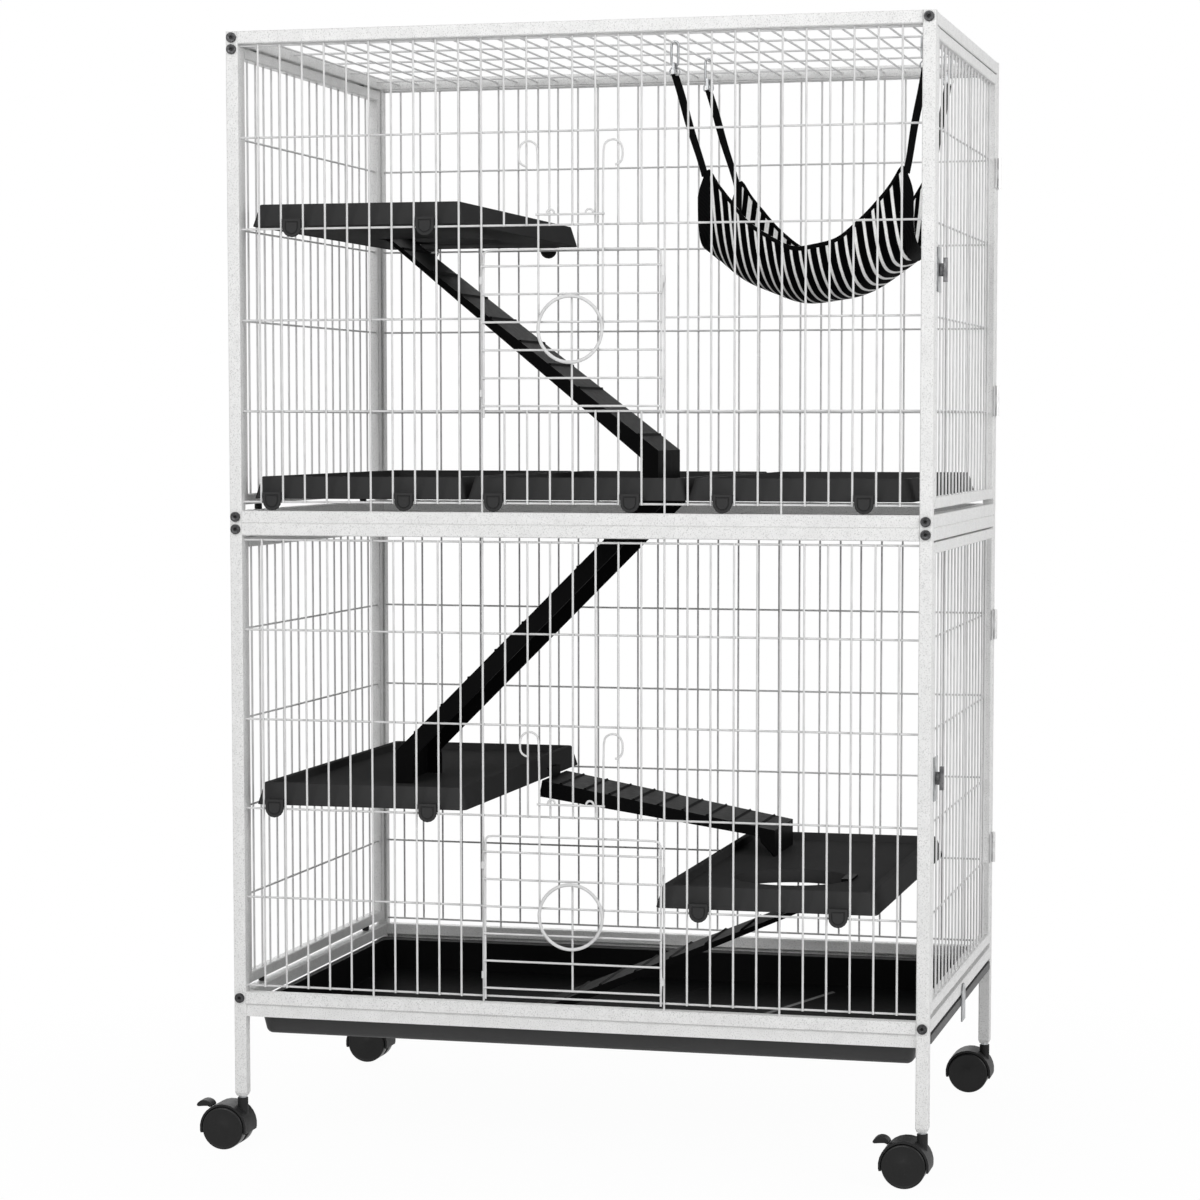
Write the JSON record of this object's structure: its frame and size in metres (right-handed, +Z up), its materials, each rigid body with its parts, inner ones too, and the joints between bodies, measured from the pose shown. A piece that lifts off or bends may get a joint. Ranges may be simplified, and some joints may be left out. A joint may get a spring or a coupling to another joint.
{
  "type": "small animal cage",
  "caption": "Tall wire cage in stacked storeys on swivel casters, with side doors, lift-up front doors, shelves, ramps, a hammock and a slide-out tray",
  "frame": {"origin": "middle of the footprint, on the floor", "axes": "+X to the side with the hinged doors, seen from the front on the right; +Y to the rear; +Z up"},
  "size_m": [0.8562, 0.5564, 1.2675],
  "materials": {
    "white_tube": "speckled powder coat",
    "white_wire": "smooth powder coat",
    "black_plastic": "fine grained",
    "wheel_plastic": "satin",
    "zinc": "zinc plated",
    "bolt_black": "black oxide",
    "hammock_fabric": "woven, black and white stripes",
    "strap_fabric": "woven webbing"
  },
  "bodies": {
    "cage_frame": {"lower_posts": "white_tube", "upper_posts": "white_tube", "lower_rails": "white_tube", "upper_rails": "white_tube", "upper_front_grille": "white_wire", "lower_front_grille": "white_wire", "upper_rear_grille": "white_wire", "lower_rear_grille": "white_wire", "roof_grille": "white_wire", "upper_left_frame": "white_tube", "upper_left_wires": "white_wire", "lower_left_frame": "white_tube", "lower_left_wires": "white_wire", "panel_spacers": "black_plastic", "tray_runners": "white_tube", "frame_bolts": "bolt_black", "caster_stems": "zinc", "hinge_post_leaves": "zinc", "shelf_hooks": "black_plastic", "upper_left_shelf": "black_plastic", "middle_left_shelf": "black_plastic", "middle_centre_shelf": "black_plastic", "middle_right_shelf": "black_plastic", "lower_left_shelf": "black_plastic", "lower_right_shelf": "black_plastic", "upper_ramp": "black_plastic", "middle_ramp": "black_plastic", "link_ramp": "black_plastic", "tray_ramp": "black_plastic", "hammock_cloth": "hammock_fabric", "hammock_straps": "strap_fabric", "hammock_hooks": "zinc"},
    "upper_side_door": {"upper_door_frame": "white_tube", "upper_door_wires": "white_wire", "upper_door_hinges": "zinc", "upper_latch_plate": "zinc"},
    "upper_latch": {"upper_latch_knob": "zinc"},
    "upper_lift_door": {"upper_front_door": "white_wire", "upper_door_handle": "white_wire"},
    "lower_side_door": {"lower_door_frame": "white_tube", "lower_door_wires": "white_wire", "lower_door_hinges": "zinc", "lower_latch_plate": "zinc"},
    "lower_latch": {"lower_latch_knob": "zinc"},
    "lower_lift_door": {"lower_front_door": "white_wire", "lower_door_handle": "white_wire"},
    "tray": {"base_tray": "black_plastic", "tray_catch": "zinc"},
    "front_left_swivel": {"front_left_hood": "black_plastic"},
    "front_left_twin_wheel": {"front_left_wheels": "wheel_plastic"},
    "front_left_brake_lever": {"front_left_brake": "black_plastic"},
    "front_right_swivel": {"front_right_hood": "black_plastic"},
    "front_right_twin_wheel": {"front_right_wheels": "wheel_plastic"},
    "front_right_brake_lever": {"front_right_brake": "black_plastic"},
    "rear_left_swivel": {"rear_left_hood": "black_plastic"},
    "rear_left_twin_wheel": {"rear_left_wheels": "wheel_plastic"},
    "rear_right_swivel": {"rear_right_hood": "black_plastic"},
    "rear_right_twin_wheel": {"rear_right_wheels": "wheel_plastic"}
  },
  "joints": [
    {"name": "upper_side_door_hinge", "type": "hinge", "parent": "cage_frame", "child": "upper_side_door", "pos_m": [0.4215, 0.25, 0.99475], "axis": [0, 0, 1], "range_deg": [0, 150]},
    {"name": "upper_latch_turn", "type": "hinge", "parent": "upper_side_door", "child": "upper_latch", "pos_m": [0.4187, -0.229, 0.99475], "axis": [1, 0, 0], "range_deg": [0, 90]},
    {"name": "upper_lift_door_slide", "type": "slide", "parent": "cage_frame", "child": "upper_lift_door", "axis": [0, 0, 1], "range_m": [0, 0.195]},
    {"name": "lower_side_door_hinge", "type": "hinge", "parent": "cage_frame", "child": "lower_side_door", "pos_m": [0.4215, 0.25, 0.44475], "axis": [0, 0, 1], "range_deg": [0, 150]},
    {"name": "lower_latch_turn", "type": "hinge", "parent": "lower_side_door", "child": "lower_latch", "pos_m": [0.4187, -0.229, 0.44475], "axis": [1, 0, 0], "range_deg": [0, 90]},
    {"name": "lower_lift_door_slide", "type": "slide", "parent": "cage_frame", "child": "lower_lift_door", "axis": [0, 0, 1], "range_m": [0, 0.195]},
    {"name": "tray_slide", "type": "slide", "parent": "cage_frame", "child": "tray", "axis": [1, 0, 0], "range_m": [0, 0.24]},
    {"name": "front_left_swivel_turn", "type": "hinge", "parent": "cage_frame", "child": "front_left_swivel", "pos_m": [-0.3743, -0.258, 0.058], "axis": [0, 0, 1], "continuous": true},
    {"name": "front_left_wheel_spin", "type": "hinge", "parent": "front_left_swivel", "child": "front_left_twin_wheel", "pos_m": [-0.3923, -0.258, 0.0245], "axis": [0, 1, 0], "continuous": true},
    {"name": "front_left_brake_press", "type": "hinge", "parent": "front_left_swivel", "child": "front_left_brake_lever", "pos_m": [-0.4118, -0.258, 0.0478], "axis": [0, -1, 0], "range_deg": [0, 10]},
    {"name": "front_right_swivel_turn", "type": "hinge", "parent": "cage_frame", "child": "front_right_swivel", "pos_m": [0.4117, -0.258, 0.058], "axis": [0, 0, 1], "continuous": true},
    {"name": "front_right_wheel_spin", "type": "hinge", "parent": "front_right_swivel", "child": "front_right_twin_wheel", "pos_m": [0.3937, -0.258, 0.0245], "axis": [0, 1, 0], "continuous": true},
    {"name": "front_right_brake_press", "type": "hinge", "parent": "front_right_swivel", "child": "front_right_brake_lever", "pos_m": [0.3742, -0.258, 0.0478], "axis": [0, -1, 0], "range_deg": [0, 10]},
    {"name": "rear_left_swivel_turn", "type": "hinge", "parent": "cage_frame", "child": "rear_left_swivel", "pos_m": [-0.3743, 0.258, 0.058], "axis": [0, 0, 1], "continuous": true},
    {"name": "rear_left_wheel_spin", "type": "hinge", "parent": "rear_left_swivel", "child": "rear_left_twin_wheel", "pos_m": [-0.3923, 0.258, 0.0245], "axis": [0, 1, 0], "continuous": true},
    {"name": "rear_right_swivel_turn", "type": "hinge", "parent": "cage_frame", "child": "rear_right_swivel", "pos_m": [0.4117, 0.258, 0.058], "axis": [0, 0, 1], "continuous": true},
    {"name": "rear_right_wheel_spin", "type": "hinge", "parent": "rear_right_swivel", "child": "rear_right_twin_wheel", "pos_m": [0.3937, 0.258, 0.0245], "axis": [0, 1, 0], "continuous": true}
  ]
}
